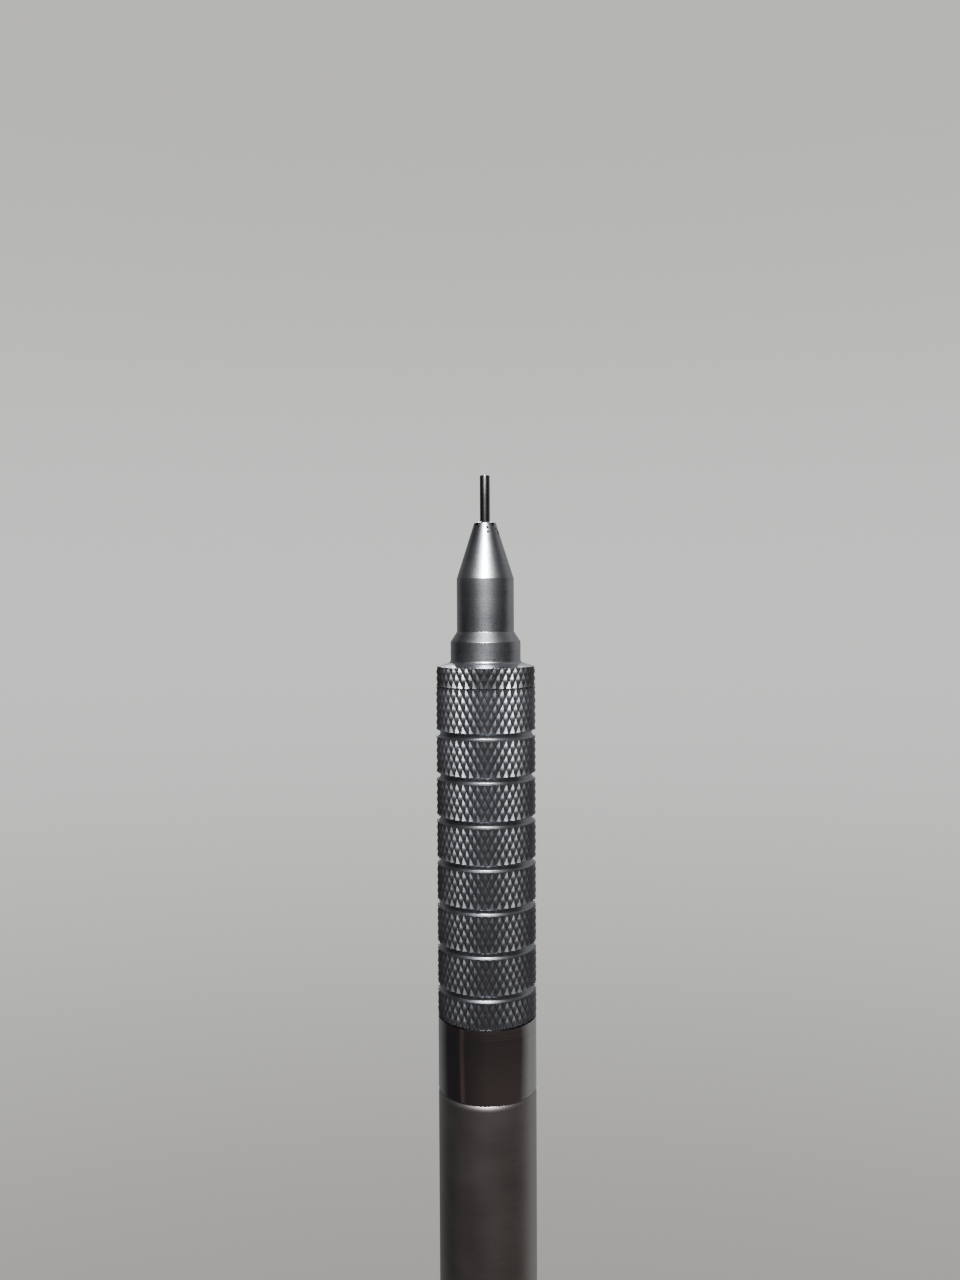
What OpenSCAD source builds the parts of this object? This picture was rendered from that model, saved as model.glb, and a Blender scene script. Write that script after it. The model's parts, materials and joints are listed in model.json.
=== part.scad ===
// Drafting lead holder with a fixed sleeve, a push mechanism and a screw-on nose.
// Axis along +Z with the tip up. The origin is on the axis, half way along the plain
// stretch of barrel ahead of the clip, where a clamp or a ring would hold it.

/* [Lead] */
// Diameter of the lead
lead_d = 0.56; // [0.54:0.01:0.57]
// Length of the lead in use
lead_l = 60; // [50:1:62]
// How far the lead sits inside the sleeve at rest
lead_inset = 2.5; // [1:0.1:4]

/* [Nose] */
// Outer diameter of the lead sleeve
sleeve_d = 0.89; // [0.8:0.01:0.95]
// Length of the sleeve that stands out of the nose
sleeve_out = 4.2; // [3:0.1:5]
// Length of the cone
cone_l = 5.05; // [4.5:0.05:6]
// Diameter of the shank behind the cone
shank_d = 5.15; // [5:0.05:5.3]
// Length of the shank
shank_l = 4.75; // [4.5:0.05:5.5]
// Diameter of the neck ahead of the collar
neck_d = 6.32; // [6.1:0.02:6.5]
// Length of the neck
neck_l = 1.5; // [1.2:0.1:2]
// Length of the knurled collar
collar_l = 1.8; // [1.5:0.1:2.5]

/* [Grip] */
// Diameter over the knurl
grip_d = 9; // [8.8:0.05:9.4]
// Length of the grip sleeve
grip_l = 29.9; // [29:0.1:31]
// Number of grooves turned into the grip
groove_n = 7; // [5:1:7]
// Distance from groove to groove
groove_pitch = 3.825; // [3.7:0.025:3.9]
// Width of a groove at its floor
groove_w = 0.45; // [0.3:0.05:0.6]
// Depth of a groove
groove_depth = 0.35; // [0.25:0.05:0.4]

/* [Barrel] */
// Diameter of the barrel and the ferrule
barrel_d = 8.92; // [8.8:0.02:9]
// Length of the ferrule between grip and barrel
ferrule_l = 6.6; // [5:0.1:8]
// Length of the plain wall ahead of the clip
plain_l = 26; // [22:1:28]
// Length of the barrel behind the plain wall
tail_l = 39; // [37:0.5:42]
// Wall of the barrel tube
barrel_wall = 0.8; // [0.7:0.05:0.9]

/* [Clip] */
// Width of the clip arm
clip_w = 3.2; // [2.6:0.1:3.6]
// Thickness of the clip arm
clip_t = 0.7; // [0.6:0.05:0.8]
// Length of the clip arm ahead of its band
clip_l = 28.5; // [24:0.5:29]

/* [Cap] */
// Diameter of the push cap
cap_d = 6.4; // [6.2:0.05:6.5]
// Length of the push cap
cap_l = 16.5; // [16:0.5:18]
// Length of the crown ring behind the barrel
crown_l = 4; // [3:0.5:5]

/* [Hidden] */
round_fn = 96;
cut = 0.5;

// radii
lead_r = lead_d / 2;
lead_bore_r = lead_r + 0.02;
sleeve_r = sleeve_d / 2;
shank_r = shank_d / 2;
neck_r = neck_d / 2;
grip_r = grip_d / 2;
collar_r = grip_r - 0.03;
barrel_r = barrel_d / 2;
bore_r = barrel_r - barrel_wall;
cap_r = cap_d / 2;
core_r = 3.3;
spigot_r = 2.5;
spigot_gap = 0.05;
mech_bore_r = 1.95;
spring_bore_r = 2.4;
tube_r = 1.5;
tube_bore_r = 1.2;
tube_gap = 0.05;
holder_r = 2.5;
holder_bore_r = 2.2;
eraser_r = 2.15;
pin_r = 0.15;

// places along the axis, from the origin towards the tip
barrel_edge_l = 0.6;
barrel_front_z = plain_l / 2 + barrel_edge_l;
grip_z0 = barrel_front_z + ferrule_l;
grip_z1 = grip_z0 + grip_l;
shoulder_l = 0.7;
shoulder_z0 = grip_z1 + collar_l;
neck_z0 = shoulder_z0 + shoulder_l;
neck_z1 = neck_z0 + neck_l;
shank_z0 = neck_z1 + 0.9;
shank_z1 = shank_z0 + shank_l;
mouth_z = shank_z1 + cone_l;
tip_z = mouth_z + sleeve_out;
groove_z1 = grip_z1 - 3.84;

// inside the nose and the grip, from the tip back
sleeve_l = sleeve_out + 3.8;
retainer_z1 = tip_z - sleeve_l;
retainer_l = 1.2;
chamber_z1 = retainer_z1 - retainer_l - 0.3;
jaw_z1 = chamber_z1 - 3.7;
jaw_l = 9;
jaw_z0 = jaw_z1 - jaw_l;
jaw_head_l = 2.4;
ring_l = 1.8;
ring_z1 = jaw_z1 - 0.9;
spigot_l = 3.5;
spigot_z1 = grip_z1 + spigot_l;
bush_z1 = grip_z1 + 1.8;
bush_step_z = grip_z1 - 3.1;
bush_z0 = bush_step_z - 1.5;
spring_l = 12;
spring_z0 = bush_z0 - spring_l;
seat_l = 1.2;
tube_z1 = jaw_z0 - 4.8;
chuck_tail_l = 3;

// behind the plain wall, from the origin back
mark_z1 = -plain_l / 2;
mark_w = 0.8;
mark_depth = 0.2;
barrel_rear_z = mark_z1 - tail_l;
crown_z0 = barrel_rear_z - crown_l;
crown_spigot_l = 4;
crown_bore_r = cap_r + 0.15;
bush_rear_z = barrel_rear_z + 5;
bush_rear_l = 4;
band_z0 = barrel_rear_z + 3;
band_l = 6;
band_z1 = band_z0 + band_l;
band_r = barrel_r + 0.4;
cap_z1 = crown_z0 - 1.5;
cap_z0 = cap_z1 - cap_l;
cap_end_t = 1;
holder_z1 = crown_z0 + 5;
holder_step_z = crown_z0 - 2;
holder_z0 = holder_step_z - 6;
eraser_z1 = holder_step_z - 0.2;
eraser_z0 = holder_z0 - 5.5;
pin_l = 15;
tube_z0 = holder_step_z;

// clip arm, seen from the side
clip_gap = 0.08;
clip_root_z = band_z1 + clip_gap;
clip_tip_z = band_z1 + clip_l;
clip_x0 = barrel_r + 1.25;
clip_x1 = clip_x0 + clip_t;
foot_r = 0.45;
foot_gap = 0.12;
foot_x = barrel_r + foot_gap + foot_r;
foot_z = clip_tip_z - 2.6;

// a solid of revolution from an outline of [radius, height] points
module turned(outline) {
    rotate_extrude($fn = round_fn) polygon(outline);
}

// a plain tube between two heights
module tube(outer_r, inner_r, z0, z1) {
    turned([[inner_r, z0], [outer_r, z0], [outer_r, z1], [inner_r, z1]]);
}

// points of an arc in an outline
function arc(cx, cy, r, from, to, steps) =
    [for (i = [0:steps]) let (a = from + (to - from) * i / steps) [cx + r * cos(a), cy + r * sin(a)]];

module lead_sleeve() {
    rim = 0.06;
    color("dimgray")
        turned(concat([[lead_bore_r, tip_z - sleeve_l], [sleeve_r, tip_z - sleeve_l]],
                      arc(sleeve_r - rim, tip_z - rim, rim, 0, 90, 3),
                      [[lead_bore_r, tip_z]]));
}

module nose_cone() {
    mouth_r = 0.85;
    cone_end_r = 0.99;
    seat_r = 1.3;
    step = 0.4;
    shoulder_r = collar_r - 0.12;
    fillet = 0.35;
    outside = concat(
        [[spigot_r + spigot_gap, grip_z1], [collar_r - 0.1, grip_z1], [collar_r, grip_z1 + 0.1],
         [collar_r, shoulder_z0 - 0.15], [shoulder_r, shoulder_z0]],
        arc(neck_r + fillet, neck_z0 - 0.1, fillet, 270, 180, 4),
        [[neck_r, neck_z1], [shank_r, shank_z0], [shank_r, shank_z1], [cone_end_r, mouth_z - 0.08],
         [mouth_r, mouth_z], [sleeve_r, mouth_z]]);
    inside = [[sleeve_r, retainer_z1], [seat_r, retainer_z1], [seat_r, chamber_z1], [mech_bore_r, chamber_z1],
              [mech_bore_r, spigot_z1 + step], [spigot_r + spigot_gap, spigot_z1 + step]];
    color("silver") turned(concat(outside, inside));
}

module lead_retainer() {
    color("black") tube(1.3, lead_bore_r, retainer_z1 - retainer_l, retainer_z1);
}

module working_lead() {
    lead_z1 = tip_z - lead_inset;
    color("dimgray") translate([0, 0, lead_z1 - lead_l]) cylinder(r = lead_r, h = lead_l, $fn = 48);
}

// one of three fingers, cut from a turned collet with a slot at each side
module jaw(turn) {
    slot_angle = 16;
    neck = 0.95;
    bore = lead_r + 0.01;
    head = 1.35;
    color("goldenrod") rotate([0, 0, turn + slot_angle / 2])
        rotate_extrude(angle = 120 - slot_angle, $fn = round_fn)
            polygon([[bore, jaw_z0 + 0.05], [neck, jaw_z0 + 0.05], [neck, jaw_z1 - jaw_head_l],
                     [head, jaw_z1], [bore + 0.15, jaw_z1], [bore, jaw_z1 - 0.3]]);
}

module chuck_jaw_1() { jaw(30); }

module chuck_jaw_2() { jaw(150); }

module chuck_jaw_3() { jaw(270); }

module chuck_body() {
    neck = 0.95;
    funnel_r = 1;
    bore = 0.35;
    tail_z = tube_z1 - chuck_tail_l;
    color("goldenrod")
        turned([[bore, jaw_z0], [neck, jaw_z0], [neck, tube_z1 + 0.2], [tube_bore_r, tube_z1],
                [tube_bore_r, tail_z], [funnel_r, tail_z], [bore, tail_z + 1.5]]);
}

module clutch_ring() {
    ring_r = 1.85;
    ring_bore_r = 1.25;
    edge = 0.1;
    color("darkgoldenrod")
        turned([[ring_bore_r, ring_z1 - ring_l], [ring_r - edge, ring_z1 - ring_l],
                [ring_r, ring_z1 - ring_l + edge], [ring_r, ring_z1 - edge], [ring_r - edge, ring_z1],
                [ring_bore_r, ring_z1]]);
}

module chuck_bush() {
    bush_bore_r = 1.2;
    color("gold")
        turned([[bush_bore_r, bush_z0], [spring_bore_r, bush_z0], [spring_bore_r, bush_step_z],
                [mech_bore_r, bush_step_z], [mech_bore_r, bush_z1], [bush_bore_r, bush_z1]]);
}

// the wire follows a helix whose end turns lie flat, so the ends bear square on their seats
module return_spring() {
    wire_r = 0.17;
    coil_r = 1.98;
    turns = 10;
    flat_turns = 1;
    steps = 14;
    sides = 8;
    rings = turns * steps;
    flat_pitch = 2.2 * wire_r;
    rise = spring_l - 2 * wire_r - 2 * flat_turns * flat_pitch;
    active = turns - 2 * flat_turns;
    // height after t turns: a close turn, the open turns, a close turn
    height = function (t) min(t, flat_turns) * flat_pitch
        + max(0, min(t - flat_turns, active)) * rise / active
        + max(0, t - turns + flat_turns) * flat_pitch;
    points = [for (i = [0:rings]) let (t = i / steps, a = 360 * t)
        for (k = [0:sides - 1]) let (b = 360 * k / sides, r = coil_r + wire_r * cos(b))
            [r * cos(a), r * sin(a), spring_z0 + wire_r + height(t) + wire_r * sin(b)]];
    walls = [for (i = [0:rings - 1], k = [0:sides - 1]) let (n = (k + 1) % sides)
        [i * sides + k, i * sides + n, (i + 1) * sides + n, (i + 1) * sides + k]];
    first = [for (k = [0:sides - 1]) sides - 1 - k];
    last = [for (k = [0:sides - 1]) rings * sides + k];
    color("lightsteelblue") polyhedron(points, concat([first], walls, [last]));
}

module spring_seat() {
    color("goldenrod") tube(2.25, tube_r, spring_z0 - seat_l, spring_z0);
}

module lead_tube() {
    color("dimgray") tube(tube_r, tube_bore_r, tube_z0, tube_z1);
}

module spare_leads() {
    circle_r = 0.8;
    spare_z0 = bush_rear_z - 8;
    color("black") for (turn = [60:120:300]) rotate([0, 0, turn])
        translate([circle_r, 0, spare_z0]) cylinder(r = lead_r, h = 60, $fn = 48);
}

module grip_core() {
    tail_l = 8;
    tail_z = barrel_front_z - tail_l;
    relief = 0.3;
    color("gray")
        turned([[spring_bore_r, tail_z], [bore_r, tail_z], [bore_r, barrel_front_z],
                [core_r, barrel_front_z], [core_r, grip_z1], [spigot_r, grip_z1],
                [spigot_r, spigot_z1 - relief], [spigot_r - relief, spigot_z1],
                [mech_bore_r, spigot_z1], [mech_bore_r, bush_step_z], [spring_bore_r, bush_step_z]]);
}

module grip_sleeve() {
    edge = 0.12;
    end_edge = 0.25;
    half_w = groove_w / 2;
    floor_r = grip_r - groove_depth;
    grooves = [for (i = [0:groove_n - 1]) let (z = groove_z1 - edge - half_w - i * groove_pitch)
        each [[grip_r, z + half_w + edge], [grip_r - edge, z + half_w], [floor_r, z + half_w],
              [floor_r, z - half_w], [grip_r - edge, z - half_w], [grip_r, z - half_w - edge]]];
    color("darkgray")
        turned(concat([[core_r, grip_z1], [grip_r - edge, grip_z1], [grip_r, grip_z1 - edge]], grooves,
                      [[grip_r, grip_z0 + end_edge], [grip_r - end_edge, grip_z0], [core_r, grip_z0]]));
}

module ferrule() {
    color("dimgray") tube(barrel_r, core_r, barrel_front_z, grip_z0);
}

module barrel_tube() {
    edge = 0.25;
    color("silver")
        turned(concat([[bore_r, barrel_rear_z], [barrel_r, barrel_rear_z], [barrel_r, mark_z1 - mark_w],
                       [barrel_r - mark_depth, mark_z1 - mark_w], [barrel_r - mark_depth, mark_z1],
                       [barrel_r, mark_z1], [barrel_r, barrel_front_z - barrel_edge_l]],
                      [for (a = [30:30:90]) [barrel_r - edge + edge * cos(a),
                                             barrel_front_z - barrel_edge_l + barrel_edge_l * sin(a)]],
                      [[bore_r, barrel_front_z]]));
}

module rear_bush() {
    color("dimgray") tube(bore_r, tube_r + tube_gap, bush_rear_z, bush_rear_z + bush_rear_l);
}

module crown_ring() {
    edge = 0.3;
    taper = 0.5;
    color("silver")
        turned([[crown_bore_r, crown_z0], [barrel_r - taper - edge, crown_z0], [barrel_r - taper, crown_z0 + edge],
                [barrel_r, crown_z0 + crown_l / 2], [barrel_r, barrel_rear_z], [bore_r, barrel_rear_z],
                [bore_r, barrel_rear_z + crown_spigot_l], [crown_bore_r, barrel_rear_z + crown_spigot_l]]);
}

module clip_band() {
    riser_z = band_z0 + 1;
    color("silver") {
        difference() {
            union() {
                cylinder_between(band_r, band_z0, band_z1);
                translate([0, -clip_w / 2, riser_z]) cube([clip_x1, clip_w, band_z1 - riser_z]);
            }
            cylinder_between(barrel_r, band_z0 - cut, band_z1 + cut);
        }
    }
}

module cylinder_between(r, z0, z1) {
    translate([0, 0, z0]) cylinder(r = r, h = z1 - z0, $fn = round_fn);
}

// the arm runs forward from the band, dips to its foot and turns out again at the tip
module pocket_clip() {
    dip = foot_x - foot_r;
    rise_z = foot_z - 4;
    outline = [[clip_x0, clip_root_z], [clip_x1, clip_root_z], [clip_x1, rise_z],
               [dip + 0.35 + clip_t, foot_z], [dip + 1.1 + clip_t, clip_tip_z - 0.35], [dip + 0.9 + clip_t, clip_tip_z],
               [dip + 0.9, clip_tip_z - 0.1], [dip + 0.35, foot_z + 0.5], [dip + 0.3, foot_z - 0.5],
               [clip_x0, rise_z - 0.3]];
    color("silver") {
        translate([0, clip_w / 2, 0]) rotate([90, 0, 0]) linear_extrude(clip_w) polygon(outline);
        translate([foot_x, clip_w / 3, foot_z]) rotate([90, 0, 0]) cylinder(r = foot_r, h = clip_w * 2 / 3, $fn = 48);
    }
}

module eraser_holder() {
    color("silver")
        turned([[tube_r, holder_z1], [tube_r, holder_step_z], [holder_bore_r, holder_step_z],
                [holder_bore_r, holder_z0], [holder_r, holder_z0], [holder_r, holder_z1 - 0.4],
                [holder_r - 0.4, holder_z1]]);
}

module eraser() {
    edge = 0.25;
    color("white")
        turned([[0, eraser_z0], [eraser_r - edge, eraser_z0], [eraser_r, eraser_z0 + edge],
                [eraser_r, eraser_z1], [pin_r, eraser_z1], [pin_r, eraser_z1 - 3], [0, eraser_z1 - 3]]);
}

module cleaning_pin() {
    color("silver") translate([0, 0, eraser_z1 - 3]) cylinder(r = pin_r, h = pin_l + 3, $fn = 32);
}

module push_cap() {
    cap_bore_r = holder_r + 0.04;
    edge = 0.4;
    color("silver")
        turned(concat([[cap_bore_r, cap_z1], [cap_bore_r, cap_z0 + cap_end_t], [0, cap_z0 + cap_end_t], [0, cap_z0]],
                      arc(cap_r - edge, cap_z0 + edge, edge, 270, 360, 4),
                      [[cap_r, cap_z1 - 0.15], [cap_r - 0.15, cap_z1]]));
}

lead_sleeve();
nose_cone();
lead_retainer();
working_lead();
chuck_jaw_1();
chuck_jaw_2();
chuck_jaw_3();
chuck_body();
clutch_ring();
chuck_bush();
return_spring();
spring_seat();
lead_tube();
spare_leads();
grip_core();
grip_sleeve();
ferrule();
barrel_tube();
rear_bush();
crown_ring();
clip_band();
pocket_clip();
eraser_holder();
eraser();
cleaning_pin();
push_cap();
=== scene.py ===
"""Looks of a drafting lead holder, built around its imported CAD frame. Outlines are in millimetres."""
import json
import math

import bmesh
import bpy
import numpy as np
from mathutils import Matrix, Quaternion, Vector


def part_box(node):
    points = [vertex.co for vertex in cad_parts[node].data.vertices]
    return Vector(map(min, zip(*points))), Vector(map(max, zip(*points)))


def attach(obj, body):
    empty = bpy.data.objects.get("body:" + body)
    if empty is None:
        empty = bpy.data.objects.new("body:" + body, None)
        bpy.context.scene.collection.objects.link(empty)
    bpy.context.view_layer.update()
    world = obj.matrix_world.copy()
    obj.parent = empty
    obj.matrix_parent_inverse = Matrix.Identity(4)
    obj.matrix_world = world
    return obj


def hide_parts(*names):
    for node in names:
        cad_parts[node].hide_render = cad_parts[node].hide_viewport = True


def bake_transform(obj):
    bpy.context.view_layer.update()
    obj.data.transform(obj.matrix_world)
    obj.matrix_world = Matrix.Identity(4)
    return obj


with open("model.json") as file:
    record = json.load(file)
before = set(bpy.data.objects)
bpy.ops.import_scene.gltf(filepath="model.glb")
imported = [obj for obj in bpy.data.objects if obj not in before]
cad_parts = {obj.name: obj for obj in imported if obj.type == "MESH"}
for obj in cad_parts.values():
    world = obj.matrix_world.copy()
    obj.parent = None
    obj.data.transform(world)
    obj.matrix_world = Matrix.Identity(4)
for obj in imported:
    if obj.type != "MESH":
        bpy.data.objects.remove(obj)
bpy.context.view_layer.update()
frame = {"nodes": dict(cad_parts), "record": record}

MM = 0.001
TURN = 2 * math.pi
SEGMENTS = 160            # points round a turned part
SHARP = math.radians(32)  # edges sharper than this keep a crease
ROUNDING_STEPS = 5
CURVE_STEPS = 10


# ---------------------------------------------------------------- reading the frame

def low(node, axis=2):
    """Lowest coordinate of a CAD node along an axis, in mm."""
    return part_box(node)[0][axis] / MM


def high(node, axis=2):
    """Highest coordinate of a CAD node along an axis, in mm. Along X it is a turned part's radius."""
    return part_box(node)[1][axis] / MM


def radius(node):
    return high(node, 0)


# places along the axis and radii that several pieces share
tip_z = high("lead_sleeve")
mouth_z = high("nose_cone")
joint_z = low("nose_cone")
grip_z0 = low("grip_sleeve")
grip_r = radius("grip_sleeve")
collar_r = radius("nose_cone")
sleeve_r = radius("lead_sleeve")
barrel_r = radius("barrel_tube")
barrel_front = high("barrel_tube")
barrel_rear = low("barrel_tube")
bore_r = radius("rear_bush")
core_r = 3.3
spigot_r = 2.5
lead_bore_r = radius("working_lead") + 0.02

# the nose and its screw thread, in mm
CONE_LENGTH = 5.05
SHANK_LENGTH = 4.75
SHANK_R = 2.575
CHAMFER_LENGTH = 0.9
NECK_LENGTH = 1.5
NECK_R = 3.16
SHOULDER_LENGTH = 0.7
COLLAR_CUT = 1.8          # from the joint line to just past the collar's knurl
MOUTH_R = 0.965
CONE_SLOPE = 0.32         # rise of the radius with the distance below the mouth
THREAD_PITCH = 0.5
THREAD_ROWS = 8           # rows of points in one turn of the thread

# turned grooves of the grip, in mm: the first is measured down from the joint line
GROOVE_COUNT = 7
GROOVE_PITCH = 3.825
GROOVE_DEPTH = 0.35
FIRST_GROOVE = 4.185

# knurl, in mm: each band is five half pitches long and each groove takes the space of half a pitch
KNURL_STARTS = 41
KNURL_PITCH = GROOVE_PITCH / 3
KNURL_DEPTH = 0.19
KNURL_CELLS = 6           # points in one pitch, along the axis and round it
KNURL_SEGMENTS = KNURL_STARTS * KNURL_CELLS
KNURL_ROW = KNURL_PITCH / KNURL_CELLS
KNURL_CREST = 0.96        # height of the saw at which the pyramids are cut off
COLLAR_ROWS = 8
BAND_GAP = 1.5 * KNURL_ROW
VALLEY_R = grip_r - KNURL_DEPTH - 0.01
JOINT_SLOT = 0.04


# ---------------------------------------------------------------- camera

CAMERA_LENS = 30.71
CAMERA_SENSOR = 36
CAMERA_DISTANCE = 98.5    # this and the two lengths below are in mm
CAMERA_RISE = math.radians(1.9)
CAMERA_ROLL = math.radians(0.29)
CAMERA_SIDE = -0.50
AIM_BELOW_TIP = 14.77


def make_camera():
    data = bpy.data.cameras.new("camera")
    data.lens = CAMERA_LENS
    data.sensor_width = CAMERA_SENSOR
    data.clip_start = 0.005
    data.clip_end = 20
    camera = bpy.data.objects.new("camera", data)
    bpy.context.scene.collection.objects.link(camera)
    aim = Vector((CAMERA_SIDE, 0, tip_z - AIM_BELOW_TIP)) * MM
    back = Vector((0, -math.cos(CAMERA_RISE), math.sin(CAMERA_RISE)))
    camera.location = aim + back * CAMERA_DISTANCE * MM
    camera.rotation_mode = "QUATERNION"
    camera.rotation_quaternion = Quaternion(-back, CAMERA_ROLL) @ (-back).to_track_quat("-Z", "Y")
    bpy.context.scene.camera = camera


# ---------------------------------------------------------------- materials

def add(tree, kind, inputs=None, **settings):
    """A shader node with its settings, and its inputs set to values or linked to sockets."""
    made = tree.nodes.new("ShaderNode" + kind)
    for key, value in settings.items():
        setattr(made, key, value)
    for key, value in (inputs or {}).items():
        if isinstance(value, bpy.types.NodeSocket):
            tree.links.new(value, made.inputs[key])
        else:
            made.inputs[key].default_value = value
    return made


def math_node(tree, operation, first, second=0.0):
    return add(tree, "Math", {0: first, 1: second}, operation=operation).outputs[0]


def blank_material(name, **shader_values):
    """A material with one Principled shader, whose uniform values are set on its own sockets."""
    material = bpy.data.materials.new(name)
    material.use_nodes = True
    tree = material.node_tree
    tree.nodes.clear()
    shader = add(tree, "BsdfPrincipled")
    for key, value in shader_values.items():
        shader.inputs[key.replace("_", " ")].default_value = value
    add(tree, "OutputMaterial", {"Surface": shader.outputs[0]})
    return material, tree, shader


def position(tree):
    """The point on the part, as a vector and as x, y, z sockets, in metres."""
    point = add(tree, "TexCoord").outputs["Object"]
    parts = add(tree, "SeparateXYZ", {0: point})
    return point, parts.outputs[0], parts.outputs[1], parts.outputs[2]


def off_axis(tree, x, y):
    squares = math_node(tree, "ADD", math_node(tree, "MULTIPLY", x, x), math_node(tree, "MULTIPLY", y, y))
    return math_node(tree, "SQRT", squares)


def stretched(tree, point, scales):
    return add(tree, "VectorMath", {0: point, 1: scales}, operation="MULTIPLY").outputs[0]


def noise(tree, vector, scale=1.0, detail=3.0, rough=0.5):
    inputs = {"Vector": vector, "Scale": scale, "Detail": detail, "Roughness": rough}
    return add(tree, "TexNoise", inputs).outputs[0]


def remap(tree, value, start, end, to_start=0.0, to_end=1.0, kind="LINEAR"):
    """A value carried from start..end to to_start..to_end, and held there outside."""
    ends = {0: value, 1: start, 2: end, 3: to_start, 4: to_end}
    return add(tree, "MapRange", ends, clamp=True, interpolation_type=kind).outputs[0]


def mix_colour(tree, amount, first, second):
    """first where the amount is 0, second where it is 1. A colour is a socket or three numbers."""
    node = add(tree, "Mix", data_type="RGBA")
    tree.links.new(amount, node.inputs[0])
    for key, value in ((6, first), (7, second)):
        if isinstance(value, bpy.types.NodeSocket):
            tree.links.new(value, node.inputs[key])
        else:
            node.inputs[key].default_value = (*value, 1)
    return node.outputs[2]


def turned_marks(tree, point, x, y, z, spacing):
    """Noise that runs in rings round the axis, as a lathe tool leaves it."""
    depth = math_node(tree, "ADD", z, off_axis(tree, x, y))
    along = math_node(tree, "DIVIDE", depth, spacing)
    gentle = add(tree, "SeparateXYZ", {0: stretched(tree, point, (60.0, 60.0, 0))})
    vector = add(tree, "CombineXYZ", {0: gentle.outputs[0], 1: gentle.outputs[1], 2: along}).outputs[0]
    return noise(tree, vector, 1.0, 2.0, 0.55)


def inside_grooves(tree, z, highest, pitch, half_width):
    """1 within evenly spaced grooves, of which the highest is at a given height, and 0 between them."""
    below = math_node(tree, "MINIMUM", z, (highest + pitch / 2) * MM)
    steps = math_node(tree, "DIVIDE", math_node(tree, "SUBTRACT", below, highest * MM), pitch * MM)
    off = math_node(tree, "ABSOLUTE", math_node(tree, "SUBTRACT", steps, math_node(tree, "ROUND", steps)))
    return remap(tree, off, half_width / pitch, (half_width - 0.02) / pitch)


def bump(tree, shader, height, distance, strength=1.0):
    made = add(tree, "Bump", {"Height": height, "Strength": strength, "Distance": distance})
    tree.links.new(made.outputs[0], shader.inputs["Normal"])


PIT_GREY = (0.05, 0.05, 0.055)
# painted shade: the dark grey that the knurl's valleys are darkened towards, and the depths below the crest
# where that painted shade starts and where it is full
KNURL_SHADE_GREY = (0.035, 0.035, 0.04)
KNURL_SHADE_DEPTHS = (0.145, KNURL_DEPTH)
GRAPHITE_BLACK = (0.012, 0.012, 0.014)


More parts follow.
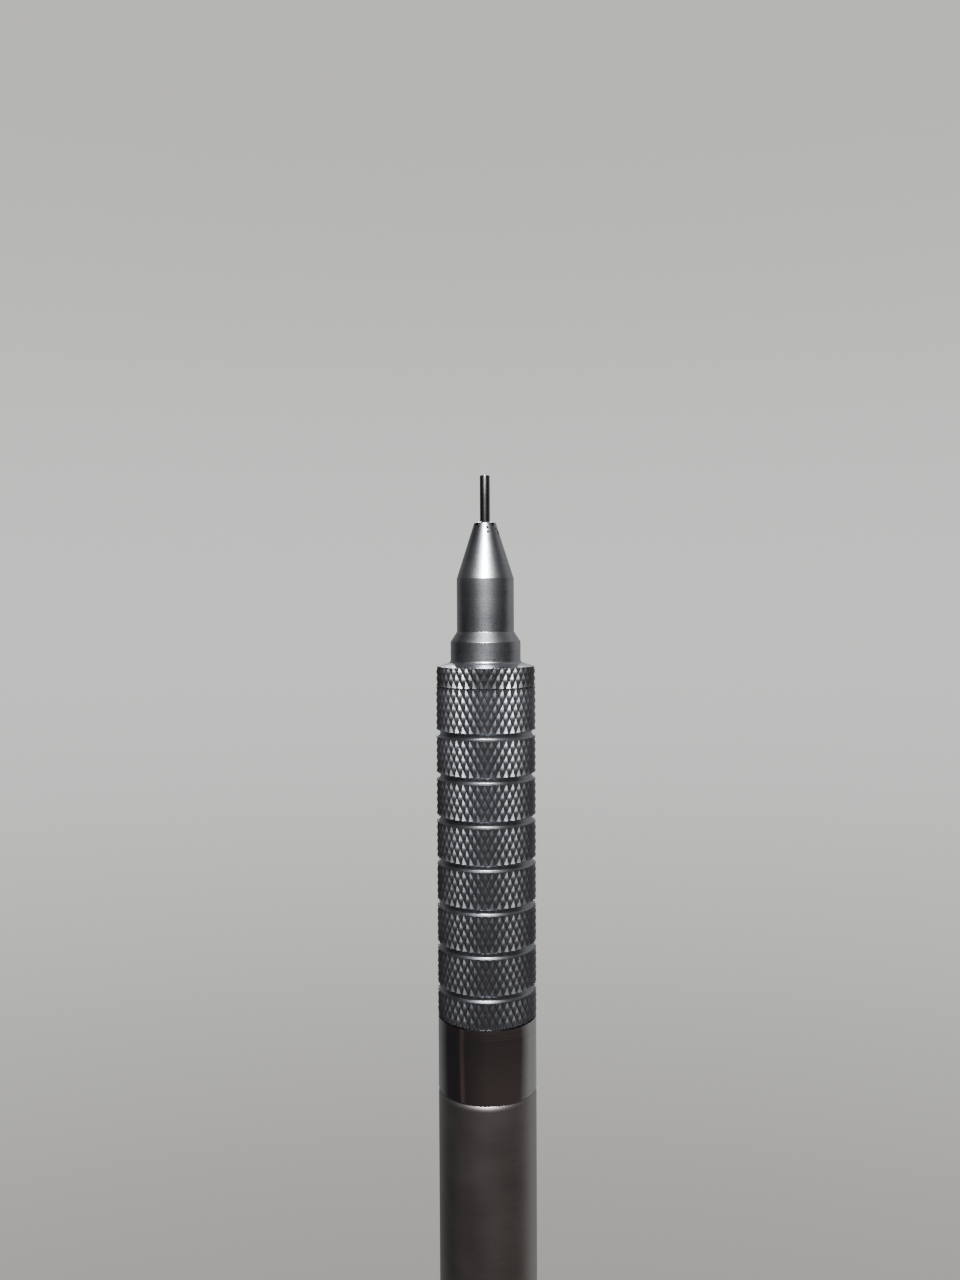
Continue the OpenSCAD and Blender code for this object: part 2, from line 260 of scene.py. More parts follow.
def grey_metal(name, dark, light, rough, marks, mark_depth, grain, grain_depth, cavity=None, specks=None,
               edge=1.0, pits=0.0, cut_top=None, cut_rougher=0.0, grooves=None):
    """Plated or bare metal: mottled colour, ring marks from turning, a fine grain, pits, graphite specks, and
    painted shade in knurled valleys.

    rough holds the lowest and highest roughness. marks and grain are the sizes of the ring marks and of
    the grain in mm, and mark_depth and grain_depth are how high they stand. cavity is (crest radius, depth
    where the painted shade in the knurl's valleys starts, depth where it is full, colour of that painted
    shade), in mm. specks are (x, y, z, radius) spots of graphite in mm. edge is the tint of the metal at
    grazing angles. pits is how dark the fine pits are. cut_top is the height in mm below which the part is
    knurled, and cut_rougher is what the cut adds to its roughness; the painted shade then falls only there,
    and the whole knurled part gets at least 0.3 of it. grooves is (highest, pitch, half width) of turned
    grooves in mm, whose floors get no painted shade and are smoother."""
    material, tree, shader = blank_material(name, Metallic=1.0, Specular_Tint=(edge, edge, edge, 1))
    point, x, y, z = position(tree)
    rings = turned_marks(tree, point, x, y, z, marks * MM)
    cloud = noise(tree, point, 260.0, 3.0)
    fine = noise(tree, point, 1 / (grain * MM), 2.0)
    tone = math_node(tree, "ADD", math_node(tree, "MULTIPLY", rings, 0.3),
                     math_node(tree, "MULTIPLY", cloud, 0.4))
    tone = math_node(tree, "ADD", tone, math_node(tree, "MULTIPLY", fine, 0.3))
    colour = mix_colour(tree, remap(tree, tone, 0.35, 0.65), dark, light)
    blotches = math_node(tree, "ADD", cloud, math_node(tree, "MULTIPLY", fine, 0.6))
    roughness = remap(tree, blotches, 0.5, 1.1, *rough)
    if pits:
        pitted = remap(tree, fine, 0.62, 0.70, 0.0, pits)
        colour = mix_colour(tree, pitted, colour, PIT_GREY)
    if cavity:
        crest, shallow, deep, shade_colour = cavity
        # painted shade: how deep a point lies in the knurl's valleys, from 0 at the shallow depth to 1 at the
        # deep one; the colour is darkened by it below
        sunk = remap(tree, off_axis(tree, x, y), (crest - deep) * MM, (crest - shallow) * MM, 1.0, 0.0)
        if cut_top:
            knurled = remap(tree, z, (cut_top - 0.02) * MM, (cut_top + 0.02) * MM, 1.0, 0.0)
            roughness = math_node(tree, "ADD", roughness, math_node(tree, "MULTIPLY", knurled, cut_rougher))
            sunk = math_node(tree, "MULTIPLY", sunk, knurled)
        if grooves:
            cut = inside_grooves(tree, z, *grooves)
            sunk = math_node(tree, "MULTIPLY", sunk, math_node(tree, "SUBTRACT", 1.0, cut))
            roughness = math_node(tree, "SUBTRACT", roughness, math_node(tree, "MULTIPLY", cut, 0.06))
        # painted shade in the knurl's valleys, varied at random by the cloud
        painted_shade = math_node(tree, "MULTIPLY", sunk, remap(tree, cloud, 0.25, 0.65, 0.4, 1.0))
        # painted shade over the whole knurled part below cut_top: its colour goes at least 0.3 of the way to
        # the shade colour
        if cut_top:
            painted_shade = math_node(tree, "MAXIMUM", painted_shade, math_node(tree, "MULTIPLY", knurled, 0.3))
        colour = mix_colour(tree, painted_shade, colour, shade_colour)
        roughness = math_node(tree, "ADD", roughness, math_node(tree, "MULTIPLY", sunk, 0.10))
    if specks:
        stain = None
        ragged = remap(tree, noise(tree, point, 9000.0, 3.0), 0.0, 1.0, -0.08 * MM, 0.08 * MM)
        for sx, sy, sz, size in specks:
            centre = tuple(v * MM for v in (sx, sy, sz))
            gap = add(tree, "VectorMath", {0: point, 1: centre}, operation="DISTANCE").outputs["Value"]
            spot = remap(tree, math_node(tree, "ADD", gap, ragged), size * 1.15 * MM, size * 0.8 * MM)
            stain = spot if stain is None else math_node(tree, "MAXIMUM", stain, spot)
        colour = mix_colour(tree, stain, colour, GRAPHITE_BLACK)
        roughness = math_node(tree, "ADD", roughness, math_node(tree, "MULTIPLY", stain, 0.2))
    tree.links.new(colour, shader.inputs["Base Color"])
    tree.links.new(roughness, shader.inputs["Roughness"])
    height = math_node(tree, "ADD", math_node(tree, "MULTIPLY", rings, mark_depth),
                       math_node(tree, "MULTIPLY", fine, grain_depth))
    bump(tree, shader, height, MM)
    return material


def brushed_metal(name, dark, light, rough, width):
    """Sheet metal with brush lines along the part."""
    material, tree, shader = blank_material(name, Metallic=1.0)
    point, _, _, _ = position(tree)
    lines = noise(tree, stretched(tree, point, (1 / (width * MM), 1 / (width * MM), 60)), 1.0, 3.0)
    cloud = noise(tree, point, 300.0)
    tree.links.new(mix_colour(tree, remap(tree, lines, 0.3, 0.7), dark, light), shader.inputs["Base Color"])
    blotches = math_node(tree, "ADD", lines, cloud)
    tree.links.new(remap(tree, blotches, 0.6, 1.4, *rough), shader.inputs["Roughness"])
    bump(tree, shader, lines, MM, 0.002)
    return material


def dull_material(name, dark, light, rough, scale, depth, **shader_values):
    """Plastic, rubber or graphite: mottled colour and a grainy surface."""
    material, tree, shader = blank_material(name, **shader_values)
    point, _, _, _ = position(tree)
    cloud = noise(tree, point, scale * 0.2, 4.0)
    grain = noise(tree, point, scale, 3.0)
    tree.links.new(mix_colour(tree, remap(tree, cloud, 0.3, 0.7), dark, light), shader.inputs["Base Color"])
    tree.links.new(remap(tree, grain, 0.3, 0.7, *rough), shader.inputs["Roughness"])
    bump(tree, shader, grain, depth * MM)
    return material


def speck_places():
    """Spots of graphite left round the mouth of the nose, most of them in front. Angles are in degrees from
    +X, and the distance below the mouth and the radius are in mm."""
    spots = []
    for angle, below, size in ((-80, 0.50, 0.13), (-79, 0.93, 0.11), (-133, 0.20, 0.16), (-148, 0.10, 0.21),
                               (-122, 0.42, 0.09), (-48, 0.22, 0.16), (-34, 0.62, 0.10), (-22, 0.95, 0.18),
                               (-60, 0.06, 0.09), (60, 0.3, 0.13), (120, 0.7, 0.10), (95, 0.1, 0.09),
                               (10, 0.3, 0.10)):
        r = MOUTH_R + below * CONE_SLOPE
        a = math.radians(angle)
        spots.append((r * math.cos(a), r * math.sin(a), mouth_z - below, size))
    return spots


def make_materials():
    made = {}
    # the nose's knurled collar gets painted shade in its valleys through cavity
    made["nose_metal"] = grey_metal(
        "nose_metal", (0.41, 0.425, 0.455), (0.58, 0.60, 0.635), (0.27, 0.35), 0.16, 0.0024, 0.16, 0.0034,
        specks=speck_places(), cavity=(collar_r, *KNURL_SHADE_DEPTHS, KNURL_SHADE_GREY), pits=0.7,
        cut_top=joint_z + COLLAR_CUT, cut_rougher=0.04)
    made["cap_metal"] = grey_metal(
        "cap_metal", (0.50, 0.505, 0.52), (0.60, 0.605, 0.62), (0.34, 0.44), 0.16, 0.0020, 0.14, 0.0014)
    # the grip's knurl gets painted shade in its valleys through cavity
    made["grip_metal"] = grey_metal(
        "grip_metal", (0.34, 0.355, 0.382), (0.46, 0.482, 0.52), (0.34, 0.42), 0.12, 0.0012, 0.10, 0.0022,
        cavity=(grip_r, *KNURL_SHADE_DEPTHS, KNURL_SHADE_GREY),
        grooves=(joint_z - FIRST_GROOVE, GROOVE_PITCH, BAND_GAP + 0.02))
    made["sleeve_steel"] = grey_metal(
        "sleeve_steel", (0.24, 0.24, 0.25), (0.33, 0.33, 0.34), (0.20, 0.28), 0.08, 0.0006, 0.05, 0.0003,
        edge=0.15)
    made["ferrule_chrome"] = grey_metal(
        "ferrule_chrome", (0.52, 0.515, 0.52), (0.60, 0.59, 0.595), (0.09, 0.15), 0.30, 0.0004, 0.20, 0.0002)
    made["barrel_metal"] = grey_metal(
        "barrel_metal", (0.45, 0.42, 0.415), (0.53, 0.495, 0.485), (0.38, 0.46), 0.25, 0.0009, 0.12, 0.0010)
    made["clip_steel"] = brushed_metal(
        "clip_steel", (0.52, 0.52, 0.53), (0.66, 0.66, 0.67), (0.20, 0.34), 0.10)
    made["brass"] = grey_metal(
        "brass", (0.56, 0.40, 0.17), (0.74, 0.57, 0.29), (0.20, 0.32), 0.10, 0.0020, 0.08, 0.0008)
    made["spring_steel"] = grey_metal(
        "spring_steel", (0.52, 0.53, 0.55), (0.70, 0.71, 0.73), (0.20, 0.32), 0.20, 0.0004, 0.06, 0.0006)
    made["tube_plastic"] = dull_material(
        "tube_plastic", (0.045, 0.045, 0.05), (0.07, 0.07, 0.075), (0.38, 0.55), 6000.0, 0.004)
    made["retainer_rubber"] = dull_material(
        "retainer_rubber", (0.018, 0.018, 0.018), (0.035, 0.035, 0.035), (0.65, 0.85), 9000.0, 0.01)
    made["graphite"] = dull_material(
        "graphite", (0.03, 0.03, 0.033), (0.07, 0.07, 0.076), (0.32, 0.5), 14000.0, 0.004, Metallic=0.35)
    made["eraser_rubber"] = dull_material(
        "eraser_rubber", (0.70, 0.69, 0.66), (0.84, 0.83, 0.80), (0.7, 0.9), 5000.0, 0.02,
        Subsurface_Weight=0.08)
    return made


# ---------------------------------------------------------------- mesh helpers

def new_piece(name, points, faces, material):
    """A mesh object from points in mm, with outward faces and creases at its sharp edges."""
    mesh = bpy.data.meshes.new(name)
    mesh.from_pydata([tuple(v * MM for v in p) for p in points], [], faces)
    shaped = bmesh.new()
    shaped.from_mesh(mesh)
    bmesh.ops.recalc_face_normals(shaped, faces=shaped.faces)
    shaped.to_mesh(mesh)
    shaped.free()
    mesh.shade_smooth()
    mesh.set_sharp_from_angle(angle=SHARP)
    mesh.materials.append(material)
    piece = bpy.data.objects.new(name, mesh)
    bpy.context.scene.collection.objects.link(piece)
    return piece


def rounded(corners):
    """A closed outline from (radius, height, rounding) corners, in mm."""
    outline = []
    count = len(corners)
    for i, (r, z, rounding) in enumerate(corners):
        here = Vector((r, z))
        if rounding == 0:
            outline.append((r, z))
            continue
        back = (Vector(corners[i - 1][:2]) - here).normalized()
        ahead = (Vector(corners[(i + 1) % count][:2]) - here).normalized()
        half = back.angle(ahead) / 2
        centre = here + (back + ahead).normalized() * rounding / math.sin(half)
        first = here + back * rounding / math.tan(half) - centre
        last = here + ahead * rounding / math.tan(half) - centre
        whole = math.pi - 2 * half
        for k in range(ROUNDING_STEPS + 1):
            t = k / ROUNDING_STEPS
            part = (first * math.sin((1 - t) * whole) + last * math.sin(t * whole)) / math.sin(whole)
            outline.append(tuple(centre + part))
    return outline


def lathe(name, outline, material, limit=None, segments=SEGMENTS):
    """A closed outline turned round the axis. limit(angles, z) is a surface that the radius stays below, such
    as a knurl or a thread; its quads are split along the diagonal that lies lower."""
    angles = np.arange(segments) * TURN / segments
    points, rings = [], []
    for r, z in outline:
        if r < 1e-6:
            rings.append([len(points)] * segments)
            points.append((0, 0, z))
            continue
        radii = np.full(segments, r)
        if limit is not None:
            radii = np.minimum(radii, limit(angles, z))
        rings.append(list(range(len(points), len(points) + segments)))
        points += list(zip(radii * np.cos(angles), radii * np.sin(angles), np.full(segments, z)))
    faces = []
    for i, ring in enumerate(rings):
        following = rings[(i + 1) % len(rings)]
        for k in range(segments):
            n = (k + 1) % segments
            corners = [ring[k], ring[n], following[n], following[k]]
            if len(set(corners)) < 4:
                corners = list(dict.fromkeys(corners))
                if len(corners) == 3:
                    faces.append(corners)
                continue
            if limit is None:
                faces.append(corners)
                continue
            reach = [math.hypot(points[c][0], points[c][1]) for c in corners]
            if reach[0] + reach[2] < reach[1] + reach[3]:
                faces += [[corners[0], corners[1], corners[2]], [corners[0], corners[2], corners[3]]]
            else:
                faces += [[corners[0], corners[1], corners[3]], [corners[1], corners[2], corners[3]]]
    return new_piece(name, points, faces, material)


def tube_faces(rings, sides):
    """Quads that join rings of points into a tube, and a face at each of its ends."""
    faces = []
    for i in range(rings - 1):
        for k in range(sides):
            n = (k + 1) % sides
            faces.append([i * sides + k, i * sides + n, (i + 1) * sides + n, (i + 1) * sides + k])
    faces.append(list(range(sides)))
    faces.append([(rings - 1) * sides + k for k in range(sides)])
    return faces


# ---------------------------------------------------------------- knurl and thread

def saw(x):
    """0 at whole numbers, 1 half way between them."""
    return 1 - np.abs(2 * (x - np.floor(x)) - 1)


def knurl(crest, shift, base_z, bare):
    """Two crossing families of V grooves that leave pyramids, with a row of their tips at base_z.

    shift turns the pattern, in cells. Between the (low, high) heights in bare the pattern stays as it is
    at the nearer of the two."""
    def limit(angles, z):
        for z0, z1 in bare:
            if z0 < z < z1:
                z = z0 if z - z0 < z1 - z else z1
        around = KNURL_STARTS * angles / TURN + shift / KNURL_CELLS
        along = (z - base_z) / KNURL_PITCH
        height = np.minimum(saw(around + along), saw(around - along))
        return crest - KNURL_DEPTH * (1 - np.minimum(height, KNURL_CREST) / KNURL_CREST)
    return limit


def rows_up(start, count):
    """count + 1 heights, one row of the knurl apart, from start upwards."""
    return [start + k * KNURL_ROW for k in range(count + 1)]


def thread(crest, depth):
    """A right-hand V thread."""
    def limit(angles, z):
        return crest - depth * (1 - saw(z / THREAD_PITCH - angles / TURN))
    return limit


# ---------------------------------------------------------------- pieces of the nose

def make_lead_sleeve(material):
    base_z = low("lead_sleeve")
    corners = [(lead_bore_r, base_z, 0), (sleeve_r, base_z, 0.03), (sleeve_r, tip_z, 0.06),
               (lead_bore_r + 0.03, tip_z, 0.02), (lead_bore_r, tip_z - 0.08, 0.02)]
    piece = lathe("sleeve_tube", rounded(corners), material, segments=96)
    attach(piece, "nose_carrier")
    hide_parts("lead_sleeve")


def make_nose(material):
    shank_z1 = mouth_z - CONE_LENGTH
    shank_z0 = shank_z1 - SHANK_LENGTH
    neck_z1 = shank_z0 - CHAMFER_LENGTH
    neck_z0 = neck_z1 - NECK_LENGTH
    shoulder_z = neck_z0 - SHOULDER_LENGTH
    seat_z = low("lead_sleeve")
    chamber_z = low("lead_retainer") - 0.3
    thread_z1 = joint_z + 3.9
    thread_r = spigot_r + 0.05
    slot_z = joint_z + JOINT_SLOT
    knurl_top = slot_z + COLLAR_ROWS * KNURL_ROW
    collar = [(collar_r - 0.3, joint_z), (collar_r - 0.3, slot_z)]
    collar += [(collar_r, z) for z in rows_up(slot_z, COLLAR_ROWS - 1)]
    collar += [(collar_r - 0.04, knurl_top), (collar_r - 0.14, shoulder_z)]
    outside = [(collar_r - 0.3, shoulder_z + 0.04, 0), (NECK_R, neck_z0 - 0.36, 0.30),
               (NECK_R, neck_z1, 0.12), (SHANK_R, shank_z0, 0.10), (SHANK_R, shank_z1, 0.05),
               (0.99, mouth_z - 0.08, 0.05), (0.85, mouth_z, 0.03)]
    inside = [(sleeve_r + 0.01, mouth_z, 0), (sleeve_r + 0.01, seat_z, 0), (1.3, seat_z, 0),
              (1.3, chamber_z, 0.1), (1.95, chamber_z, 0.1), (1.95, thread_z1, 0), (thread_r, thread_z1, 0)]
    turns = round((thread_z1 - joint_z) / THREAD_PITCH)
    bottom = [(thread_r, thread_z1 - (k + 1) * THREAD_PITCH / THREAD_ROWS)
              for k in range(turns * THREAD_ROWS - 1)]
    bottom += [(spigot_r + 0.12, joint_z)]
    cut = knurl(collar_r, 3, slot_z, [(knurl_top, tip_z)])
    piece = lathe("nose_shell", rounded(outside + inside) + bottom + collar, material, cut, KNURL_SEGMENTS)
    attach(piece, "nose")
    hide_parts("nose_cone")


# ---------------------------------------------------------------- pieces of the grip

def groove_outline(centre):
    """Rising outline of one turned groove: lips as low as the knurl's valleys, and rounded corners below."""
    floor_r = grip_r - GROOVE_DEPTH
    half = BAND_GAP - 0.16
    corners = [(grip_r, centre - BAND_GAP, 0), (VALLEY_R, centre - BAND_GAP, 0),
               (floor_r, centre - half, 0.12), (floor_r, centre + half, 0.12),
               (VALLEY_R, centre + BAND_GAP, 0), (grip_r, centre + BAND_GAP, 0)]
    closing = [(core_r, centre + 1, 0), (core_r, centre - 1, 0)]
    return rounded(corners + closing)[:-2]


def make_grip(material):
    """Eight knurled bands and seven grooves. Every row of points lies on the knurl's own grid."""
    first_z = joint_z - FIRST_GROOVE
    centres = [first_z - k * GROOVE_PITCH for k in reversed(range(GROOVE_COUNT))]
    band_rows = round((GROOVE_PITCH - 2 * BAND_GAP) / KNURL_ROW)
    end_rows = math.floor((centres[0] - BAND_GAP - grip_z0 - 0.28) / KNURL_ROW)
    top_rows = math.floor((joint_z - first_z - BAND_GAP) / KNURL_ROW)
    end_z = centres[0] - BAND_GAP - end_rows * KNURL_ROW
    top_z = first_z + BAND_GAP + top_rows * KNURL_ROW
    outline = [(core_r, grip_z0), (grip_r - 0.28, grip_z0), (grip_r - 0.23, grip_z0 + 0.02),
               (grip_r - 0.12, grip_z0 + 0.13)]
    outline += [(grip_r, z) for z in rows_up(end_z, end_rows - 1)]
    for centre in centres:
        outline += groove_outline(centre)
        rows = band_rows - 2 if centre != first_z else top_rows - 1
        outline += [(grip_r, z) for z in rows_up(centre + BAND_GAP + KNURL_ROW, rows)]
    outline += [(grip_r - 0.3, top_z), (grip_r - 0.3, joint_z), (core_r, joint_z)]
    bare = [(c - BAND_GAP, c + BAND_GAP) for c in centres] + [(grip_z0 - 1, end_z)]
    cut = knurl(grip_r, 0, first_z + BAND_GAP, bare)
    piece = lathe("grip_knurled", outline, material, cut, KNURL_SEGMENTS)
    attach(piece, "barrel")
    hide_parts("grip_sleeve")


def make_grip_core(material):
    tail_z = low("grip_core")
    top_z = high("grip_core")
    step_z = joint_z - 3.1
    relief = 0.3
    count = round((top_z - relief - joint_z) / THREAD_PITCH * THREAD_ROWS)
    screw = [(spigot_r, joint_z + k * THREAD_PITCH / THREAD_ROWS) for k in range(count + 1)]
    outline = [(2.4, tail_z), (bore_r - 0.1, tail_z), (bore_r, tail_z + 0.1), (bore_r, barrel_front),
               (core_r, barrel_front), (core_r, joint_z)] + screw
    outline += [(spigot_r - 0.24, top_z - 0.04), (spigot_r - relief, top_z), (2.0, top_z),
                (1.95, top_z - 0.05), (1.95, step_z), (2.4, step_z)]
    cut = thread(spigot_r, 0.16)

    def limit(angles, z):
        return cut(angles, z) if joint_z + 0.02 < z < top_z else np.full(len(angles), bore_r)

    piece = lathe("core_with_thread", outline, material, limit, 96)
    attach(piece, "barrel")
    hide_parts("grip_core")


def make_ferrule(material):
    """A plain ring with three faint turned lines near the grip."""
    line = 0.003
    lines = []
    for k in (2, 1, 0):
        z = grip_z0 - 0.30 - k * 0.28
        lines += [(barrel_r, z - 0.05, 0), (barrel_r - line, z - 0.02, 0), (barrel_r - line, z + 0.02, 0),
                  (barrel_r, z + 0.05, 0)]
    corners = [(core_r, barrel_front, 0), (barrel_r, barrel_front, 0.06), *lines,
               (barrel_r, grip_z0, 0), (core_r, grip_z0, 0)]
    piece = lathe("ferrule_ring", rounded(corners), material)
    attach(piece, "barrel")
    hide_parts("ferrule")


# ---------------------------------------------------------------- pieces of the barrel

def make_barrel(material):
    """A tube with a shallow turned mark at the rear end of its plain wall and a rolled front edge."""
    mark_z = -13.0
    mark_w = 0.8
    mark_depth = 0.2
    edge = 0.86
    edge_steps = 9
    shoulder_z = barrel_front - edge * math.sin(math.radians(45))
    corners = [(bore_r, barrel_rear, 0), (barrel_r, barrel_rear, 0.08), (barrel_r, mark_z - mark_w, 0.04),
               (barrel_r - mark_depth, mark_z - mark_w, 0.08), (barrel_r - mark_depth, mark_z, 0.08),
               (barrel_r, mark_z, 0.04)]
    front = []
    for step in range(edge_steps + 1):
        a = math.radians(45 * step / edge_steps)
        front.append((barrel_r - edge + edge * math.cos(a), shoulder_z + edge * math.sin(a)))
    outline = rounded(corners) + front + [(bore_r, barrel_front)]
    piece = lathe("barrel_shell", outline, material, segments=192)
    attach(piece, "barrel")
    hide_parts("barrel_tube")


def make_crown(material):
    rear = low("crown_ring")
    front = high("crown_ring")
    bore = 3.35
    corners = [(bore, rear, 0.06), (barrel_r - 0.5, rear, 0.25), (barrel_r, rear + 2.0, 0.3),
               (barrel_r, barrel_rear - 0.62, 0.05), (barrel_r - 0.14, barrel_rear - 0.50, 0.05),
               (barrel_r - 0.14, barrel_rear - 0.20, 0.05), (barrel_r, barrel_rear - 0.08, 0.02),
               (barrel_r, barrel_rear, 0), (bore_r, barrel_rear, 0), (bore_r, front, 0.1),
               (bore, front, 0.06)]
    piece = lathe("crown_turned", rounded(corners), material)
    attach(piece, "barrel")
    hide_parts("crown_ring")


def make_cap(material):
    """The push cap, with two narrow grooves near its open end."""
    rear = low("push_cap")
    front = high("push_cap")
    cap_r = radius("push_cap")
    bore = 2.54
    grooves = []
    for z in (front - 2.3, front - 1.5):
        grooves += [(cap_r, z - 0.16, 0.03), (cap_r - 0.12, z - 0.08, 0.03), (cap_r - 0.12, z + 0.08, 0.03),
                    (cap_r, z + 0.16, 0.03)]
    corners = [(0, rear, 0), (cap_r - 0.9, rear + 0.02, 0.6), (cap_r, rear + 0.62, 0.5), *grooves,
               (cap_r, front, 0.14), (bore, front, 0.1), (bore, rear + 1.0, 0.1), (0, rear + 1.0, 0)]
    piece = lathe("cap_turned", rounded(corners), material)
    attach(piece, "cap")
    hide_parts("push_cap")


def make_eraser_parts(holder_metal, rubber, wire):
    """The cup on the lead tube, the eraser in it, and the wire set into the eraser."""
    rear = low("eraser_holder")
    front = high("eraser_holder")
    holder_r = radius("eraser_holder")
    step_z = -58.0
    corners = [(2.2, rear, 0.06), (holder_r, rear, 0.08), (holder_r, rear + 1.1, 0.05),
               (holder_r - 0.09, rear + 1.2, 0.05), (holder_r - 0.09, rear + 1.6, 0.05),
               (holder_r, rear + 1.7, 0.05), (holder_r, front, 0.35), (1.5, front, 0.05), (1.5, step_z, 0),
               (2.2, step_z, 0.1)]
    holder = lathe("eraser_cup", rounded(corners), holder_metal, segments=128)
    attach(holder, "plunger")
    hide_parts("eraser_holder")
    end = low("eraser")
    top = high("eraser")
    body_r = radius("eraser")
    corners = [(0, end + 0.02, 0), (body_r - 0.6, end, 0.4), (body_r, end + 0.5, 0.45), (body_r, top, 0.1),
               (0.15, top, 0), (0.15, top - 3, 0), (0, top - 3, 0)]
    eraser = lathe("eraser_plug", rounded(corners), rubber, worn_end(end, body_r), segments=96)
    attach(eraser, "eraser")
    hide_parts("eraser")
    pin_end = high("cleaning_pin")
    pin_r = 0.148
    corners = [(0, top - 2.99, 0), (pin_r, top - 2.99, 0.02), (pin_r, pin_end, 0.1), (0, pin_end, 0)]
    pin = lathe("clearing_wire", rounded(corners), wire, segments=32)
    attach(pin, "eraser")
    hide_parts("cleaning_pin")


def worn_end(end, body_r):
    """The radius that is left of a rubbed end: its edge has lost more on one side, in shallow waves."""
    def limit(angles, z):
        worn = max(0.0, 1 - (z - end) / 1.2)
        return body_r - worn * (0.05 + 0.05 * np.cos(angles - 0.7) + 0.02 * np.cos(3 * angles))
    return limit


def make_spring(material):
    """The coil spring, with a nearly closed turn at each end."""
    wire_r = 0.17
    coil_r = 1.98
    turns = 10
    per_turn = 36
    sides = 12
    z0 = low("return_spring")
    length = high("return_spring") - z0
    closed = 2.2 * wire_r
    active = turns - 2
    open_pitch = (length - 2 * wire_r - 2 * closed) / active
    points = []
    rings = turns * per_turn + 1
    for i in range(rings):
        t = i / per_turn
        rise = min(t, 1) * closed + max(0, min(t - 1, active)) * open_pitch
        rise += max(0, t - turns + 1) * closed
        a = TURN * t
        for k in range(sides):
            b = TURN * k / sides
            r = coil_r + wire_r * math.cos(b)
            points.append((r * math.cos(a), r * math.sin(a), z0 + wire_r + rise + wire_r * math.sin(b)))
    piece = new_piece("coil_spring", points, tube_faces(rings, sides), material)
    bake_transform(piece)
    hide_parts("return_spring")


# ---------------------------------------------------------------- clip

def smooth_path(knots):
    """A Catmull-Rom curve through (x, z) knots."""
    path = []
    last = len(knots) - 1
    for i in range(last):
        p = [Vector(knots[min(max(j, 0), last)]) for j in (i - 1, i, i + 1, i + 2)]
        for s in range(CURVE_STEPS):
            t = s / CURVE_STEPS
            path.append(0.5 * (2 * p[1] + (p[2] - p[0]) * t
                               + (2 * p[0] - 5 * p[1] + 4 * p[2] - p[3]) * t ** 2
                               + (3 * p[1] - p[0] - 3 * p[2] + p[3]) * t ** 3))
    path.append(Vector(knots[last]))
    return path


def make_clip(material):
    """The band round the barrel, and the springy arm with its foot and its turned-up tip."""
    band_z0 = low("clip_band")
    band_z1 = high("clip_band")
    band_r = -low("clip_band", 0)
    corners = [(barrel_r, band_z0, 0.04), (band_r, band_z0, 0.16), (band_r, band_z1, 0.16),
               (barrel_r, band_z1, 0.04)]
    band = lathe("clip_collar", rounded(corners), material, segments=192)
    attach(band, "barrel")
    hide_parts("clip_band")
    outer_x = high("pocket_clip", 0)
    tip = high("pocket_clip")
    thick = 0.62
    mid = outer_x - thick / 2
    foot_z = tip - 2.6
    knots = [(barrel_r + 0.32, band_z0 + 0.9), (barrel_r + 0.55, band_z0 + 1.6), (mid - 0.45, band_z0 + 2.6),
             (mid - 0.06, band_z0 + 3.9), (mid, band_z1), (mid, band_z1 + 6), (mid, band_z1 + 13),
             (mid, foot_z - 5.4), (mid - 0.28, foot_z - 3.2), (mid - 0.66, foot_z - 1.3),
             (mid - 0.84, foot_z), (mid - 0.62, foot_z + 1.2), (mid - 0.18, tip - 0.15)]
    path = smooth_path(knots)
    half_width = 1.6
    crown = 0.10
    sides = 28
    points = []
    for i, here in enumerate(path):
        ahead = path[min(i + 1, len(path) - 1)] - path[max(i - 1, 0)]
        along = ahead.normalized()
        out = Vector((along.y, -along.x))
        from_tip = min(1.0, (tip - here.y) / 1.5)
        width = half_width * (0.45 + 0.55 * math.sqrt(max(0.0, 1 - (1 - from_tip) ** 2)))
        for k in range(sides):
            a = TURN * k / sides
            c, s = math.cos(a), math.sin(a)
            across = width * math.copysign(abs(c) ** 0.28, c)
            bulge = crown * (1 - (across / half_width) ** 2)
            lift = thick / 2 * math.copysign(abs(s) ** 0.38, s) + bulge - crown
            place = here + out * lift
            points.append((place.x, across, place.y))
    arm = new_piece("clip_spring_arm", points, tube_faces(len(path), sides), material)
    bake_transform(arm)
    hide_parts("pocket_clip")


# ---------------------------------------------------------------- CAD nodes that stay

def dress_nodes(materials):
    """The material of each CAD node's slot, for the nodes that no piece replaces."""
    slots = {row["node"]: row["material_slot"] for row in frame["record"]["subparts"]}
    for name, piece in frame["nodes"].items():
        piece.data.materials.clear()
        piece.data.materials.append(materials[slots[name]])


# ---------------------------------------------------------------- stage and light

# in metres
FLOOR_Z = -0.34
FLOOR_RADIUS = 0.42
SOFTBOX_SIZE = (0.048, 0.026)
SOFTBOX_DISTANCE = 0.14
NOSE_AIM = (0, 0, 0.060)
CLIP_AIM = (0, 0, -0.052)


def make_stage():
    """A round pale floor with a rounded rim, under the object and out of the camera's view."""
    material, tree, shader = blank_material("pale_floor", Roughness=0.9)
    point, _, _, _ = position(tree)
    cloud = noise(tree, point, 3.0)
    colour = mix_colour(tree, cloud, (0.76, 0.765, 0.745), (0.80, 0.80, 0.785))
    tree.links.new(colour, shader.inputs["Base Color"])
    top, edge, thick = FLOOR_Z / MM, FLOOR_RADIUS / MM, 10
    corners = [(0, top - thick, 0), (edge, top - thick, 3), (edge, top, 3), (0, top, 0)]
    floor = lathe("floor_disc", rounded(corners), material)
    floor.visible_glossy = False


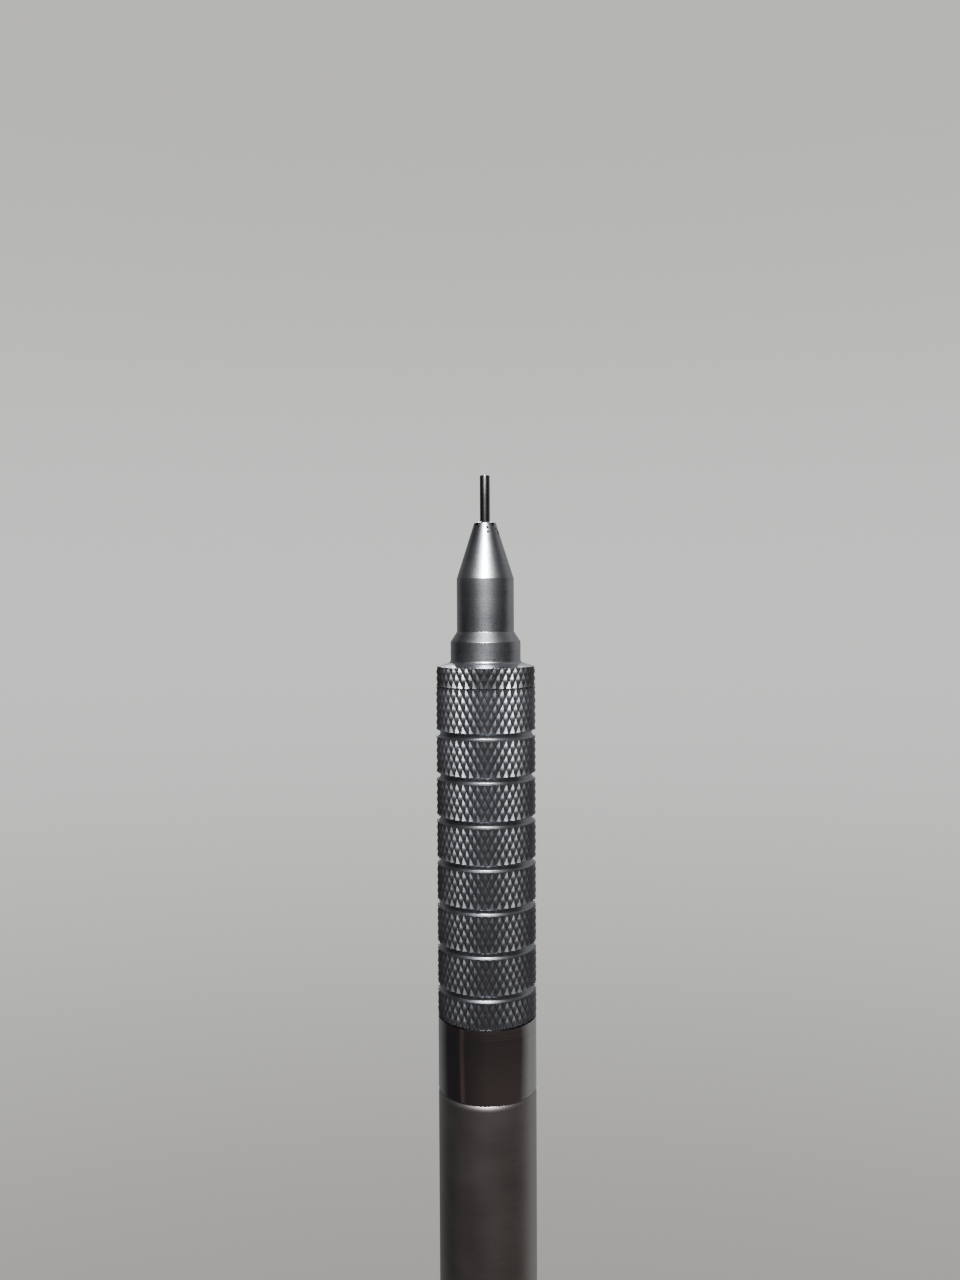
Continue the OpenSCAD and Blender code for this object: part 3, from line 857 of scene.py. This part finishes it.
def make_softbox(name, azimuth, elevation, power, aim, spread):
    """An area light placed by its direction from the aim point. Azimuth 0 is in front, 90 to the right."""
    data = bpy.data.lights.new(name, "AREA")
    data.shape = "RECTANGLE"
    data.size, data.size_y = SOFTBOX_SIZE
    data.energy = power
    data.spread = math.radians(spread)
    light = bpy.data.objects.new(name, data)
    bpy.context.scene.collection.objects.link(light)
    a, e = math.radians(azimuth), math.radians(elevation)
    back = Vector((math.sin(a) * math.cos(e), -math.cos(a) * math.cos(e), math.sin(e)))
    light.location = Vector(aim) + back * SOFTBOX_DISTANCE
    light.rotation_mode = "QUATERNION"
    light.rotation_quaternion = (-back).to_track_quat("-Z", "Y")
    light.visible_camera = False


def make_world():
    """What the metal reflects is a dark room in front, with a lighter strip like a door's edge to the left,
    and a wall behind that is darker on the left. The background is a pale wall with painted light and
    shade: brightest half way up, darker towards the bottom and a little darker at the top."""
    world = bpy.data.worlds.new("room")
    world.use_nodes = True
    bpy.context.scene.world = world
    tree = world.node_tree
    tree.nodes.clear()
    direction = add(tree, "TexCoord").outputs["Generated"]
    x, y, z = add(tree, "SeparateXYZ", {0: direction}).outputs
    bearing = math_node(tree, "ARCTAN2", x, math_node(tree, "MULTIPLY", y, -1.0))
    from_left = remap(tree, bearing, -1.3, 0.0)
    strip = math_node(tree, "MINIMUM", remap(tree, bearing, -1.22, -1.14), remap(tree, bearing, -0.96, -1.04))
    low_front = mix_colour(tree, from_left, (0.026, 0.023, 0.025), (0.070, 0.055, 0.051))
    low_front = mix_colour(tree, strip, low_front, (0.095, 0.066, 0.059))
    front = mix_colour(tree, remap(tree, z, -0.5, 0.1), low_front, (0.022, 0.022, 0.024))
    left = mix_colour(tree, remap(tree, y, 0.3, 0.8), front, (0.17, 0.17, 0.17))
    right = mix_colour(tree, remap(tree, y, -0.1, 0.4), front, (0.30, 0.30, 0.295))
    room = mix_colour(tree, remap(tree, x, -0.25, 0.25), left, right)
    # painted light and shade on the background wall: brightest half way up, darker towards the bottom and a
    # little darker at the top
    lower = remap(tree, z, -0.60, -0.02, kind="SMOOTHSTEP")
    upper = remap(tree, z, -0.02, 0.45, kind="SMOOTHSTEP")
    wall = mix_colour(tree, lower, (0.42, 0.405, 0.39), (0.82, 0.83, 0.81))
    wall = mix_colour(tree, upper, wall, (0.66, 0.65, 0.635))
    seen = add(tree, "LightPath").outputs["Is Camera Ray"]
    shown = mix_colour(tree, seen, room, wall)
    background = add(tree, "Background", {"Color": shown, "Strength": 1.0})
    add(tree, "OutputWorld", {"Surface": background.outputs[0]})


def make_lights():
    """Softboxes in front of and behind the nose, four round the clip, and a soft sun that lights only matt
    things such as the floor."""
    for side, azimuth, power in (("front", -2, 0.082), ("back", 182, 0.026)):
        make_softbox(side + "_nose", azimuth, 36, power, NOSE_AIM, spread=70)
    for side, azimuth in (("front", -2), ("right", 88), ("back", 182), ("left", 268)):
        make_softbox(side + "_clip", azimuth, 30, 0.014, CLIP_AIM, spread=36)
    data = bpy.data.lights.new("floor_sun", "SUN")
    data.energy = 2.1
    data.angle = math.radians(60)
    sun = bpy.data.objects.new("floor_sun", data)
    bpy.context.scene.collection.objects.link(sun)
    sun.visible_glossy = False
    sun.visible_camera = False


# ---------------------------------------------------------------- the whole

make_camera()
materials = make_materials()
dress_nodes(materials)
make_lead_sleeve(materials["sleeve_steel"])
make_nose(materials["nose_metal"])
make_grip(materials["grip_metal"])
make_grip_core(materials["brass"])
make_ferrule(materials["ferrule_chrome"])
make_barrel(materials["barrel_metal"])
make_crown(materials["cap_metal"])
make_cap(materials["cap_metal"])
make_eraser_parts(materials["cap_metal"], materials["eraser_rubber"], materials["spring_steel"])
make_spring(materials["spring_steel"])
make_clip(materials["clip_steel"])
make_stage()
make_world()
make_lights()
